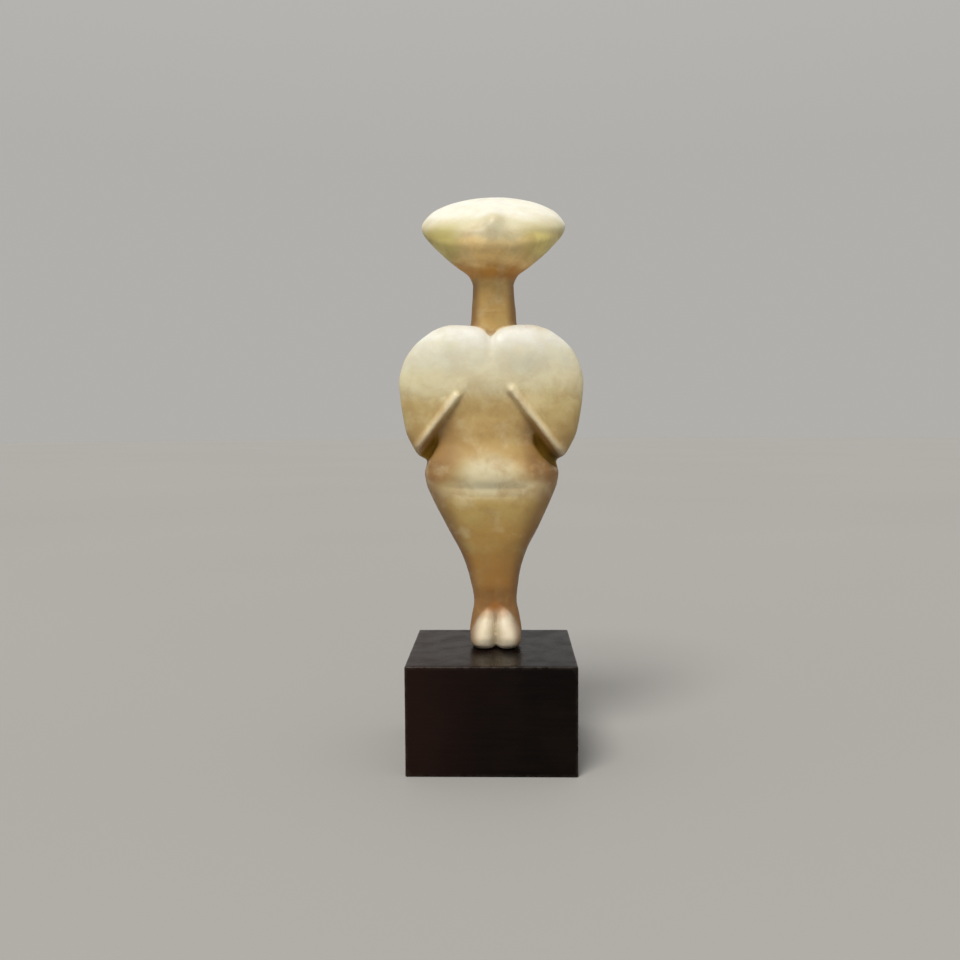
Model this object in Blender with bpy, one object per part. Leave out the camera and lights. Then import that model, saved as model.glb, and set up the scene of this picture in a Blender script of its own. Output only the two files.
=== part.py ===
"""A kilia-type idol of marble, a standing figure with its head tipped back, on a square dark block.

Metres, +Z up. The origin is the centre of the block's underside.
The figure faces -Y, and its left hand is at +X.
"""

import math

import bmesh
import bpy
import numpy as np

# Driving sizes
IDOL_HEIGHT = 0.1695
STAND_WIDTH = 0.060
STAND_DEPTH = 0.060
STAND_HEIGHT = 0.0388
STAND_EDGE_BEVEL = 0.0006
RESTING_GAP = 0.0003

# The carving is measured in parts, as a sculptor steps off a block of stone: the idol is this many tall
PARTS_TALL = 169.5
PART = IDOL_HEIGHT / PARTS_TALL

# Half width of the whole body at each height, from the soles to the widest place of the arms
OUTLINE = (
    (0.0, 8.3),
    (1.5, 9.4),
    (4.5, 9.9),
    (10.8, 9.1),
    (16.5, 8.1),
    (24.3, 9.1),
    (33.3, 11.6),
    (44.6, 17.1),
    (55.7, 22.4),
    (60.5, 24.3),
    (64.6, 24.9),
    (69.2, 24.0),
    (71.3, 27.1),
    (75.0, 29.4),
    (80.0, 31.6),
    (91.2, 33.5),
    (97.0, 34.0),
    (99.0, 34.0),
)

# How far the torso and the legs reach forward of the block's centre, and how far back
FRONT = (
    (0.0, 0.4),
    (10.0, 0.2),
    (17.0, 0.3),
    (24.3, 1.6),
    (33.3, 3.6),
    (44.6, 6.2),
    (55.7, 8.6),
    (63.0, 9.2),
    (71.0, 7.3),
    (78.0, 5.9),
    (84.0, 5.9),
    (92.0, 6.5),
    (100.0, 7.0),
    (106.0, 7.0),
)
BACK = (
    (0.0, 8.6),
    (2.5, 9.6),
    (8.0, 9.6),
    (17.0, 9.1),
    (33.3, 11.9),
    (48.0, 14.3),
    (60.0, 15.2),
    (70.0, 12.8),
    (80.0, 9.8),
    (92.0, 8.4),
    (102.0, 8.2),
)

# Half width of the torso between the forearms, and how far its middle stands from the body's
HIP_HEIGHT = 66.0
WAIST = (
    (66.0, 24.8),
    (68.4, 23.6),
    (70.4, 22.0),
    (73.0, 20.4),
    (76.0, 19.1),
    (78.5, 19.2),
    (81.0, 20.4),
    (84.5, 23.0),
    (90.0, 28.0),
    (96.0, 32.0),
    (103.0, 34.0),
)
WAIST_SHIFT = ((66.0, 0.0), (70.0, -1.6), (78.0, -2.0), (88.0, -1.0), (98.0, 0.0))
WAIST_EDGE = 2.6

# Top edge of the shoulders, as its height at each distance from the middle
SHOULDER_EDGE = (
    (0.0, 115.0),
    (0.7, 115.1),
    (2.2, 116.4),
    (4.8, 118.4),
    (8.0, 118.9),
    (14.0, 119.1),
    (20.0, 117.7),
    (25.0, 114.6),
    (29.0, 110.9),
    (31.9, 106.4),
    (33.3, 102.3),
    (33.8, 100.4),
    (34.0, 99.0),
)
CHEST_BELOW_WIDEST = 4.0
CHEST_HEIGHT = SHOULDER_EDGE[-1][1] - CHEST_BELOW_WIDEST
SHOULDER_ROUNDNESS = 2.2
CHEST_FRONT = 7.0
ELBOW_HEIGHT = 69.0
ELBOW_ROUNDING = 4.0
SECTION_ROUNDNESS = 2.3
MEETING_SOFTNESS = 1.0

# The figure's middle line leans a little to its left at the feet
LEAN = ((0.0, 1.4), (13.0, 1.2), (25.0, 0.8), (45.0, 0.3), (64.6, 0.0))

# Feet: two rounded paws that slope forward from the ankles, with a crease between them
FOOT_FRONT = ((0.0, 5.0), (1.5, 6.3), (3.5, 6.5), (6.0, 5.4), (10.0, 2.6), (14.0, 0.2), (17.0, -1.5))
FOOT_WIDTH = ((0.0, 4.2), (2.0, 4.8), (5.0, 4.7), (9.0, 3.7), (13.0, 2.8), (17.0, 2.2))
FOOT_ROUNDNESS = 2.5

# The belly, a low mound that ends below in a cut fold
BELLY_RISE = 1.0
BELLY_HALF_WIDTH = 18.0
BELLY_ROUNDNESS = 1.6
BELLY_TOP = 73.5
BELLY_CREST = 62.8
BELLY_FOOT = 59.3
FOLD_RISE = 0.0022
FOLD_FROM = -20.0
FOLD_TO = 15.0
FOLD_TAPER = 4.0
FOLD_DEPTH = 0.4
FOLD_WIDTH = 0.6

# Forearms: raised bars from the elbow to the hand, given as (x, height)
RIGHT_ELBOW = (-27.6, 74.4)
RIGHT_HAND = (-12.0, 94.0)
LEFT_ELBOW = (26.6, 71.4)
LEFT_HAND = (7.0, 96.4)
FOREARM_HALF_WIDTH = 1.9
FOREARM_RISE = 1.3
FOREARM_HALF_DEPTH = 4.2
FOREARM_ROUNDNESS = 2.6
FOREARM_EDGE = 3.0

# Neck, from inside the shoulders to where the head flares out of it
NECK_X = 1.0
NECK_WIDTH = ((104.0, 8.6), (118.0, 8.7), (123.0, 8.3), (128.5, 7.8), (134.0, 7.5))
NECK_HALF_DEPTH = ((104.0, 3.0), (112.0, 4.4), (118.0, 4.8), (126.0, 5.4), (134.0, 6.0))
NECK_Y = ((104.0, 3.0), (112.0, 3.8), (118.0, 4.0), (126.0, 3.6), (134.0, 3.2))
NECK_BOTTOM = 104.0
NECK_TOP = 134.0

# Head: a bowl on the neck, tipped back, with the face for its lid. Each profile climbs from the neck over
# the head's edge to the middle of the face. Chin and crown are (y, height), the side is (half width, height)
CHIN_PROFILE = (
    (-2.8, 134.0),
    (-3.6, 136.7),
    (-6.6, 139.0),
    (-10.0, 141.0),
    (-12.3, 143.4),
    (-13.4, 146.6),
    (-12.6, 150.6),
    (-9.6, 154.4),
    (-4.2, 158.3),
    (1.4, 161.6),
    (7.0, 164.6),
)
SIDE_PROFILE = (
    (7.5, 134.0),
    (8.9, 137.0),
    (13.6, 140.7),
    (18.8, 145.2),
    (22.8, 149.4),
    (25.5, 153.2),
    (26.2, 156.4),
    (24.0, 160.3),
    (17.8, 163.2),
    (9.2, 164.5),
    (0.0, 164.6),
)
CROWN_PROFILE = (
    (9.2, 134.0),
    (10.4, 138.2),
    (14.0, 143.2),
    (18.4, 149.0),
    (22.8, 155.4),
    (26.8, 161.8),
    (29.1, 166.6),
    (27.2, 169.3),
    (21.2, 169.45),
    (14.4, 167.5),
    (7.0, 164.6),
)
EAR_REACH = 0.03
EAR_SPREAD = 0.16
EAR_STEP = 5.6

# Nose: a low ridge down the face that stands out most at its lower end, with its places as y
NOSE_HALF_WIDTH = 5.0
NOSE_ROOT = 7.0
NOSE_TIP = -12.0
NOSE_END = 3.6
NOSE_RISE = 2.0
FACE_SLOPE = math.radians(33.0)

# Steps of the surface, closer at the feet, the belly and the elbows, as (height, row spacing up to it)
BODY_ROW_SPACING = ((14.0, 0.7), (57.0, 1.2), (66.0, 0.45), (82.0, 0.36), (CHEST_HEIGHT, 0.65))
SHOULDER_ROWS = 26
BODY_COLUMNS = 200
NECK_ROWS = 22
HEAD_ROWS = 60
HEAD_COLUMNS = 112
FOREARM_ROWS = 30
FOREARM_COLUMNS = 24
SEAM_MERGE = 0.0001
SURFACE_KEPT = 0.105


def curve_through(points, at):
    """A smooth curve through points of rising place that never overshoots them."""
    places, values = np.array(points, float).T
    steps = np.diff(places)
    slopes = np.diff(values) / steps
    tangents = np.zeros(len(places))
    same_way = slopes[1:] * slopes[:-1] > 0
    sums = np.where(same_way, slopes[1:] + slopes[:-1], 1.0)
    tangents[1:-1] = np.where(same_way, 2 * slopes[1:] * slopes[:-1] / sums, 0.0)
    tangents[0] = slopes[0]
    tangents[-1] = slopes[-1]
    at = np.clip(at, places[0], places[-1])
    left = np.clip(np.searchsorted(places, at, side="right") - 1, 0, len(steps) - 1)
    width = steps[left]
    t = (at - places[left]) / width
    rise = values[left + 1] - values[left]
    start = tangents[left] * width
    end = tangents[left + 1] * width
    return values[left] + t * (start + t * (3 * rise - 2 * start - end + t * (start + end - 2 * rise)))


def ease(share):
    """0 to 1 with a soft start and end."""
    share = np.clip(share, 0.0, 1.0)
    return share * share * (3 - 2 * share)


def rounded(share, roundness):
    """Height of an oval of half height 1 at this share of its half width."""
    return (1 - np.minimum(np.abs(share), 1.0) ** roundness) ** (1 / roundness)


def above_forearm(x, height, elbow, hand):
    """How far a place lies above the line from an elbow to its hand."""
    run = hand[0] - elbow[0]
    climb = hand[1] - elbow[1]
    return ((height - elbow[1]) * abs(run) - (x - elbow[0]) * climb * np.sign(run)) / math.hypot(run, climb)


def middle_depth(height):
    return (curve_through(BACK, height) - curve_through(FRONT, height)) / 2


def arm_front(x, height, half_width):
    """How far the chest and the arms stand forward of the body's middle depth."""
    reach = (CHEST_FRONT + middle_depth(height)) * ease((height - ELBOW_HEIGHT) / ELBOW_ROUNDING)
    return reach * rounded(x / half_width, SECTION_ROUNDNESS)


def torso_front(x, height, half_width):
    """How far the torso, the legs and the feet stand forward of the body's middle depth."""
    own_width = np.where(height < HIP_HEIGHT, half_width, curve_through(WAIST, height))
    from_middle = np.abs(x - curve_through(WAIST_SHIFT, height))
    middle = middle_depth(height)
    column = (curve_through(FRONT, height) + middle) * rounded(from_middle / own_width, SECTION_ROUNDNESS)
    edge = WAIST_EDGE * ease((height - HIP_HEIGHT) / WAIST_EDGE) * ease((CHEST_HEIGHT - height) / WAIST_EDGE)
    column = column * ease((own_width - from_middle) / np.maximum(edge, 1e-6))
    foot_width = curve_through(FOOT_WIDTH, height)
    foot = (curve_through(FOOT_FRONT, height) + middle) * rounded(np.abs(x) / foot_width - 1, FOOT_ROUNDNESS)
    return np.maximum(column, foot) + belly(x, height)


def belly(x, height):
    """How far the belly stands out of the torso, with the cut line of its fold taken off."""
    lift = FOLD_RISE * x * x
    above_fold = height - lift - BELLY_FOOT
    mound = ease((BELLY_TOP - height) / (BELLY_TOP - BELLY_CREST))
    mound = mound * ease(above_fold / (BELLY_CREST - BELLY_FOOT))
    ends = ease((x - FOLD_FROM) / FOLD_TAPER) * ease((FOLD_TO - x) / FOLD_TAPER)
    fold = FOLD_DEPTH * ends * np.exp(-((above_fold / FOLD_WIDTH) ** 2))
    return BELLY_RISE * mound * rounded(x / BELLY_HALF_WIDTH, BELLY_ROUNDNESS) - fold


def body_point_y(x, height, half_width, is_front):
    """Depth of the body's surface, in parts, on its front or its back."""
    middle = middle_depth(height)
    back = (curve_through(BACK, height) - middle) * rounded(x / half_width, SECTION_ROUNDNESS)
    above_right = above_forearm(x, height, RIGHT_ELBOW, RIGHT_HAND)
    above_left = above_forearm(x, height, LEFT_ELBOW, LEFT_HAND)
    above = np.where(x < 0, above_right, above_left)
    arms = arm_front(x, height, half_width) * ease(0.5 + above / FOREARM_EDGE)
    torso = torso_front(x, height, half_width)
    meeting = MEETING_SOFTNESS * ease((height - HIP_HEIGHT) / 4) * ease((CHEST_HEIGHT - height) / 8)
    meeting = meeting * rounded(x / half_width, SECTION_ROUNDNESS)
    front = (torso + arms + np.hypot(torso - arms, meeting)) / 2
    return middle + np.where(is_front, -front, back)


def oval(columns, roundness):
    """Places around an oval of half width 1: the share across, and whether each is on its front."""
    turn = 2 * np.pi * np.arange(columns) / columns
    across = np.sign(np.cos(turn)) * np.abs(np.cos(turn)) ** (2 / roundness)
    return across, np.sin(turn) < 0


def body_rings():
    """Rings from the soles to the shoulders' top edge, the last ones bent to follow that edge."""
    across, is_front = oval(BODY_COLUMNS, SECTION_ROUNDNESS)
    rings = []
    levels = [0.0]
    for top, spacing in BODY_ROW_SPACING:
        rows = math.ceil((top - levels[-1]) / spacing)
        levels.extend(np.linspace(levels[-1], top, rows + 1)[1:])
    for level in levels:
        height = np.full(BODY_COLUMNS, level)
        half_width = curve_through(OUTLINE, height)
        x = across * half_width
        y = body_point_y(x, height, half_width, is_front)
        rings.append(np.stack([x + curve_through(LEAN, height), y, height], axis=1))
    for row in range(1, SHOULDER_ROWS + 1):
        climb = math.sin(math.pi / 2 * row / SHOULDER_ROWS)
        half_width = curve_through(OUTLINE, CHEST_HEIGHT + climb * (SHOULDER_EDGE[-1][1] - CHEST_HEIGHT))
        x = across * half_width
        height = CHEST_HEIGHT + climb * (curve_through(SHOULDER_EDGE, np.abs(x)) - CHEST_HEIGHT)
        middle = middle_depth(height)
        thinning = rounded(climb, SHOULDER_ROUNDNESS)
        y = middle + thinning * (body_point_y(x, height, half_width, is_front) - middle)
        rings.append(np.stack([x, y, height], axis=1))
    return rings


def profile_at(profile, step):
    """Both numbers of a profile at a step along it."""
    return [curve_through(list(enumerate(values)), step) for values in zip(*profile)]


def through_three(front, side, back, turn):
    """A value around a ring that passes through the front, the sides and the back."""
    return side + (back - front) / 2 * np.sin(turn) + ((back + front) / 2 - side) * np.sin(turn) ** 2


def nose_rise(x, y):
    """How far the nose stands out of the face."""
    along = ease((y - NOSE_TIP) / NOSE_END) * ease((NOSE_ROOT - y) / (NOSE_ROOT - NOSE_TIP))
    return NOSE_RISE * along * ease(1 - np.abs(x) / NOSE_HALF_WIDTH)


def head_rings():
    """Rings up the neck, out along the head's underside to its edge, and in over the face."""
    turn = 2 * np.pi * np.arange(HEAD_COLUMNS) / HEAD_COLUMNS
    rings = []
    for row in range(NECK_ROWS):
        height = NECK_BOTTOM + (NECK_TOP - NECK_BOTTOM) * row / NECK_ROWS
        x = NECK_X + curve_through(NECK_WIDTH, height) * np.cos(turn)
        y = curve_through(NECK_Y, height) + curve_through(NECK_HALF_DEPTH, height) * np.sin(turn)
        rings.append(np.stack([x, y, np.full(HEAD_COLUMNS, height)], axis=1))
    steps = np.arange(len(SIDE_PROFILE))
    off_side = np.arcsin(np.abs(np.sin(turn)))
    for row in range(HEAD_ROWS + 1):
        step = steps[-1] * row / HEAD_ROWS
        chin = profile_at(CHIN_PROFILE, step)
        side = profile_at(SIDE_PROFILE, step)
        crown = profile_at(CROWN_PROFILE, step)
        ear = EAR_REACH * math.exp(-((step - EAR_STEP) ** 2)) * np.exp(-((off_side / EAR_SPREAD) ** 2))
        across = side[0] * np.cos(turn) * (1 + ear)
        y = through_three(chin[0], (chin[0] + crown[0]) / 2, crown[0], turn)
        height = through_three(chin[1], side[1], crown[1], turn)
        nose = nose_rise(across, y) if step > EAR_STEP else 0.0
        y = y - nose * math.sin(FACE_SLOPE)
        rings.append(np.stack([NECK_X + across, y, height + nose * math.cos(FACE_SLOPE)], axis=1))
    return rings


def forearm_rings(elbow, hand):
    """Rings of a round-ended bar that lies on the chest from the elbow to the hand."""
    elbow = np.array(elbow)
    run = np.array(hand) - elbow
    length = np.linalg.norm(run)
    turn = 2 * np.pi * np.arange(FOREARM_COLUMNS) / FOREARM_COLUMNS
    wide = np.sign(np.cos(turn)) * np.abs(np.cos(turn)) ** (2 / FOREARM_ROUNDNESS)
    deep = np.sign(np.sin(turn)) * np.abs(np.sin(turn)) ** (2 / FOREARM_ROUNDNESS)
    beside = np.array([-run[1], run[0]]) / length
    rings = []
    for row in range(FOREARM_ROWS + 1):
        share = (1 - math.cos(math.pi * row / FOREARM_ROWS)) / 2
        x, height = elbow + run * share
        from_end = min(share, 1 - share) * length
        fullness = rounded(1 - min(from_end / FOREARM_HALF_WIDTH, 1.0), 2.0)
        across = wide * FOREARM_HALF_WIDTH * fullness
        surface = middle_depth(height) - arm_front(x, height, curve_through(OUTLINE, height))
        y = surface - FOREARM_RISE + FOREARM_HALF_DEPTH * (1 + deep * fullness)
        rings.append(np.stack([x + across * beside[0], y, height + across * beside[1]], axis=1))
    return rings


def solid_from_rings(name, rings):
    """A closed mesh object through the rings. A ring drawn in to a point or a line closes itself."""
    points = np.concatenate(rings) * PART
    count = len(rings[0])
    faces = []
    for row in range(len(rings) - 1):
        for column in range(count):
            beside = (column + 1) % count
            low = row * count
            high = low + count
            faces.append((low + column, low + beside, high + beside, high + column))
    mesh = bpy.data.meshes.new(name)
    mesh.from_pydata(points.tolist(), [], faces)
    shape = bmesh.new()
    shape.from_mesh(mesh)
    bmesh.ops.remove_doubles(shape, verts=shape.verts, dist=1e-7)
    bmesh.ops.holes_fill(shape, edges=[edge for edge in shape.edges if edge.is_boundary], sides=0)
    bmesh.ops.recalc_face_normals(shape, faces=shape.faces)
    shape.to_mesh(mesh)
    shape.free()
    mesh.shade_smooth()
    made = bpy.data.objects.new(name, mesh)
    bpy.context.scene.collection.objects.link(made)
    return made


def hide_helper(helper, owner):
    """A shape that only serves to build its owner."""
    helper.hide_render = True
    helper.display_type = "WIRE"
    helper.parent = owner


def material(name, colour, roughness, metallic):
    """A plain surface of one colour."""
    made = bpy.data.materials.new(name)
    made.use_nodes = True
    shader = made.node_tree.nodes["Principled BSDF"]
    shader.inputs["Base Color"].default_value = (*colour, 1.0)
    shader.inputs["Roughness"].default_value = roughness
    shader.inputs["Metallic"].default_value = metallic
    return made


def make_idol():
    idol = solid_from_rings("idol", body_rings())
    idol.location.z = STAND_HEIGHT + RESTING_GAP
    forms = {
        "neck_and_head": head_rings(),
        "right_forearm": forearm_rings(RIGHT_ELBOW, RIGHT_HAND),
        "left_forearm": forearm_rings(LEFT_ELBOW, LEFT_HAND),
    }
    for name, rings in forms.items():
        piece = solid_from_rings(name + "_shape", rings)
        hide_helper(piece, idol)
        joined = idol.modifiers.new(name, "BOOLEAN")
        joined.operation = "UNION"
        joined.solver = "EXACT"
        joined.object = piece
    seams = idol.modifiers.new("clean seams", "WELD")
    seams.merge_threshold = SEAM_MERGE
    simpler = idol.modifiers.new("fewer faces", "DECIMATE")
    simpler.ratio = SURFACE_KEPT
    simpler.use_collapse_triangulate = True
    idol.data.materials.append(material("honey marble", (0.66, 0.52, 0.31), 0.45, 0.0))
    return idol


def make_stand():
    """The block, with lightly broken edges."""
    shape = bmesh.new()
    bmesh.ops.create_cube(shape, size=1.0)
    bmesh.ops.scale(shape, vec=(STAND_WIDTH, STAND_DEPTH, STAND_HEIGHT), verts=shape.verts)
    bmesh.ops.translate(shape, vec=(0.0, 0.0, STAND_HEIGHT / 2), verts=shape.verts)
    mesh = bpy.data.meshes.new("stand_block")
    shape.to_mesh(mesh)
    shape.free()
    stand = bpy.data.objects.new("stand_block", mesh)
    bpy.context.scene.collection.objects.link(stand)
    edge = stand.modifiers.new("broken edges", "BEVEL")
    edge.width = STAND_EDGE_BEVEL
    edge.segments = 2
    mesh.materials.append(material("black lacquered wood", (0.016, 0.008, 0.007), 0.35, 0.0))
    return stand


for old in list(bpy.data.objects):
    bpy.data.objects.remove(old)
make_stand()
make_idol()
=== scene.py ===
import math

import bmesh
import bpy
import numpy as np
from mathutils import Matrix, Vector, noise


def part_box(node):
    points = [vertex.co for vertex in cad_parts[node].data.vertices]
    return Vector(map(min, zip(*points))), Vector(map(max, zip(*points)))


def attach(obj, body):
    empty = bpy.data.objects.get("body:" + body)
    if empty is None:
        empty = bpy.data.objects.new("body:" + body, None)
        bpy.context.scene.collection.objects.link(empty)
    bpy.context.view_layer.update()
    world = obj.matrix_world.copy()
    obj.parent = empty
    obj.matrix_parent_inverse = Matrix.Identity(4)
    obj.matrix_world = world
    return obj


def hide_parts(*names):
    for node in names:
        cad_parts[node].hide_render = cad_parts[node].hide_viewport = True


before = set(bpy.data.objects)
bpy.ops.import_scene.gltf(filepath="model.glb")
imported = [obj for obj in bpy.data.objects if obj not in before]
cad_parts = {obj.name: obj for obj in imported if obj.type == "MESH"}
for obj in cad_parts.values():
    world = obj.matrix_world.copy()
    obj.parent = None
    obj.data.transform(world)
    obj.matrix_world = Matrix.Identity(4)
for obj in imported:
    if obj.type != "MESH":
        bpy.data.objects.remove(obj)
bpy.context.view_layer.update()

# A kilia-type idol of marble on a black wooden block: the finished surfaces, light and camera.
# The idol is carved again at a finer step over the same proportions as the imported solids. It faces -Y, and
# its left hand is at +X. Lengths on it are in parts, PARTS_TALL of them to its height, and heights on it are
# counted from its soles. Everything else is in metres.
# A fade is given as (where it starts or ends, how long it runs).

IDOL_LOW, IDOL_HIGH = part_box("idol")
BLOCK_LOW, BLOCK_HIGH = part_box("stand_block")
PARTS_TALL = 169.5
PART = (IDOL_HIGH.z - IDOL_LOW.z) / PARTS_TALL

# Half width of the body at each height, and how far it reaches forward and back of the block's centre
OUTLINE = (
    (0.0, 8.3), (1.5, 9.4), (4.5, 9.9), (10.8, 9.1), (16.5, 8.1), (24.3, 9.1), (33.3, 11.6), (44.6, 17.1),
    (55.7, 22.4), (60.5, 24.3), (64.6, 24.9), (69.2, 24.0), (71.3, 27.1), (75.0, 29.4), (80.0, 31.6),
    (91.2, 33.5), (97.0, 34.0), (99.0, 34.0),
)
FRONT = (
    (0.0, 0.4), (10.0, 0.2), (17.0, 0.3), (24.3, 1.6), (33.3, 3.6), (44.6, 6.2), (55.7, 8.6), (63.0, 9.2),
    (71.0, 7.3), (78.0, 5.9), (84.0, 5.9), (92.0, 6.5), (100.0, 7.0), (106.0, 7.0),
)
BACK = (
    (0.0, 8.6), (2.5, 9.6), (8.0, 9.6), (17.0, 9.1), (33.3, 11.9), (48.0, 14.3), (60.0, 15.2), (70.0, 12.8),
    (80.0, 9.8), (92.0, 8.4), (102.0, 8.2),
)
HIP_HEIGHT = 66.0
WAIST = (
    (66.0, 24.8), (68.4, 23.6), (70.4, 22.0), (73.0, 20.4), (76.0, 19.1), (78.5, 19.2), (81.0, 20.4),
    (84.5, 23.0), (90.0, 28.0), (96.0, 32.0), (103.0, 34.0),
)
WAIST_SHIFT = ((66.0, 0.0), (70.0, -1.6), (78.0, -2.0), (88.0, -1.0), (98.0, 0.0))
WAIST_EDGE = 1.8
SHOULDER_EDGE = (
    (0.0, 115.4), (0.9, 115.8), (2.4, 117.5), (4.6, 118.5), (8.0, 118.9), (14.0, 119.1), (20.0, 117.7),
    (25.0, 114.6), (29.0, 110.9), (31.9, 106.4), (33.3, 102.3), (33.8, 100.4), (34.0, 99.0),
)
CHEST_HEIGHT = 95.0
SHOULDER_ROUNDNESS = 2.2
CHEST_FRONT = 7.0
ELBOW_HEIGHT = 69.0
ELBOW_ROUNDING = 4.0
SECTION_ROUNDNESS = 2.3
MEETING_SOFTNESS = 1.3
MEETING_FOOT_RUN = 4.0
MEETING_TOP_RUN = 8.0
LEAN = ((0.0, 1.4), (13.0, 1.2), (25.0, 0.8), (45.0, 0.3), (64.6, 0.0))

# Feet
FOOT_FRONT = ((0.0, 5.0), (1.5, 6.3), (3.5, 6.5), (6.0, 5.4), (10.0, 2.6), (14.0, 0.2), (17.0, -1.5))
FOOT_WIDTH = ((0.0, 4.2), (2.0, 4.9), (5.0, 4.7), (9.0, 3.7), (13.0, 2.8), (17.0, 2.2))
FOOT_ROUNDNESS = 2.5
WHITE_TOES = ((0.0, 10.4), (3.0, 9.8), (7.0, 8.2), (11.0, 5.8), (14.0, 3.2), (17.0, -0.5))

# Belly and its fold
BELLY_RISE = 0.6
BELLY_HALF_WIDTH = 18.0
BELLY_ROUNDNESS = 1.6
BELLY_TOP = 73.5
BELLY_CREST = 62.8
BELLY_FOOT = 59.3
FOLD_RISE = 0.0022
FOLD_FROM = -20.0
FOLD_TO = 15.0
FOLD_TAPER = 4.0
FOLD_DEPTH = 0.16
FOLD_WIDTH = 0.5

# Forearms, from the elbow to the hand
RIGHT_ELBOW = (-27.6, 74.4)
RIGHT_HAND = (-12.0, 94.0)
LEFT_ELBOW = (26.6, 71.4)
LEFT_HAND = (7.0, 96.4)
FOREARM_HALF_WIDTH = 2.25
FOREARM_RISE = 1.2
FOREARM_LOW_EDGE = 1.5
FOREARM_HIGH_EDGE = 2.4
FOREARM_END = 2.6
ELBOW_FULLNESS = 0.6
HAND_FULLNESS = 0.4
ARM_UNDERSIDE = 4.6
ARM_UNDERSIDE_EDGE = 3.6

# Neck and head
NECK_X = 1.0
NECK_WIDTH = ((104.0, 8.6), (118.0, 8.7), (123.0, 8.3), (128.5, 7.8), (134.0, 7.5))
NECK_HALF_DEPTH = ((104.0, 3.0), (112.0, 4.4), (118.0, 4.8), (126.0, 5.4), (134.0, 6.0))
NECK_Y = ((104.0, 3.0), (112.0, 3.8), (118.0, 4.0), (126.0, 3.6), (134.0, 3.2))
NECK_BOTTOM = 104.0
NECK_TOP = 134.0
CHIN_PROFILE = (
    (-2.8, 134.0), (-3.6, 136.7), (-6.6, 139.0), (-10.0, 141.0), (-12.3, 143.4), (-13.4, 146.6),
    (-12.6, 150.6), (-9.6, 154.4), (-4.2, 158.3), (1.4, 161.6), (7.0, 164.6),
)
SIDE_PROFILE = (
    (7.5, 134.0), (8.9, 137.0), (13.6, 140.7), (18.8, 145.2), (22.8, 149.4), (25.5, 153.2), (26.2, 156.4),
    (24.0, 160.3), (17.8, 163.2), (9.2, 164.5), (0.0, 164.6),
)
CROWN_PROFILE = (
    (9.2, 134.0), (10.4, 138.2), (14.0, 143.2), (18.4, 149.0), (22.8, 155.4), (26.8, 161.8), (29.1, 166.6),
    (27.2, 169.3), (21.2, 169.45), (14.4, 167.5), (7.0, 164.6),
)
EAR_REACH = 0.03
EAR_SPREAD = 0.16
EAR_STEP = 5.6
NOSE_HALF_WIDTH = 5.0
NOSE_ROOT = 7.0
NOSE_TIP = -13.2
NOSE_END = 3.0
NOSE_RISE = 2.0
FACE_SLOPE = math.radians(33.0)

# Steps of the first surface, and of the even skin drawn over it
BODY_ROWS = 260
SHOULDER_ROWS = 70
BODY_COLUMNS = 420
NECK_ROWS = 50
HEAD_ROWS = 140
HEAD_COLUMNS = 260
SKIN_STEP = 0.00053

# Rounds of drawing each place of the skin towards its neighbours
SOFTENING_ROUNDS = 2
NAPE_ROUNDS = 45
TIGHT_LOOK_ROUNDS = 5
WIDE_LOOK_ROUNDS = 78

# The nape, where the neck runs into the back in one slope
NAPE_BACK = (2.0, 3.0)
NAPE_FOOT = (103.0, 4.0)
NAPE_TOP = (124.0, 4.0)
NAPE_SIDE = (16.0, 4.0)

# Unevenness of the hand-worn stone, as (depth, size of its lumps, seed). Strides say how far a seed shifts
# the noise along x, y and z.
UNEVENNESS = ((0.22, 15.0, 1), (0.09, 6.0, 2), (0.03, 2.2, 3))
GRAIN_STRIDES = (7.31, 3.17, 5.59)

# Pits, as (depth, size, seed), and the ragged grain that breaks them up
PITS = ((0.16, 7.5, 5), (0.08, 3.1, 6))
PIT_SHARE = 0.22
PIT_RADIUS = 0.42
PIT_PICK = 9.7
PIT_STRIDES = (2.93, 8.11, 4.37)
RAGGED_LEVEL = 0.6
RAGGED_SWING = 0.8
RAGGED_SIZE = 1.6
RAGGED_SEED = 7

# The fainter cut line below the belly's fold, and the line around the neck's front
CUT_HALF_WIDTH = 0.4
SECOND_CUT_HEIGHT = 56.4
SECOND_CUT_MIDDLE = 1.0
SECOND_CUT_RISE = 0.004
SECOND_CUT_WANDER = 0.25
SECOND_CUT_WANDER_SIZE = 5.0
SECOND_CUT_SEED = 4
SECOND_CUT_DEPTH = 0.06
SECOND_CUT_FROM = (-13.0, 5.0)
SECOND_CUT_TO = (14.0, 5.0)
NECK_LINE_HEIGHT = 124.0
NECK_LINE_RISE = 0.12
NECK_LINE_SIDE = (5.5, 3.0)
FACING_GAIN = 2.0
SOLE_KEPT = (0.2, 1.5)

# Where each tint lies on the idol. A centre is (x, height), and a reach goes that far each way
FRONT_RUN = 3.0
LEAST_HALF_WIDTH = 1.0
# Painted shade in the pockets under the elbows
SLOT_ACROSS = (-2.6, 2.2)
SLOT_FOOT = (65.0, 2.0)
SLOT_TOP = (83.0, 5.0)
SLOT_BELOW_ARM = (-2.0, 1.8)
SLOT_BEHIND_ARM = (1.0, 2.4)
SLOT_ARM_FOOT = 74.0
TORSO_BELOW_ARM = (-1.2, 2.0)
TORSO_FOOT = (66.0, 6.0)
TORSO_TOP = (97.0, 14.0)
NECK_AROUND = (1.7, 0.6)
NECK_TINT_FOOT = (106.0, 13.0)
NECK_TINT_TOP = (137.0, 3.0)
NECK_SIDE = (3.8, 3.6)
# Painted shade on the sides of the feet beside their pale tops, and across the shins above them
FLANK_RUN = 1.3
FLANK_TOP = (24.0, 5.0)
# Painted shade towards the sides of the body and the neck, where they turn from the light
RIM_ACROSS = (0.52, 0.44)
RIM_ON_ARMS = 0.35
RIM_WAIST = (74.0, 8.0)
RIM_TOP = (92.0, 14.0)
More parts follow.
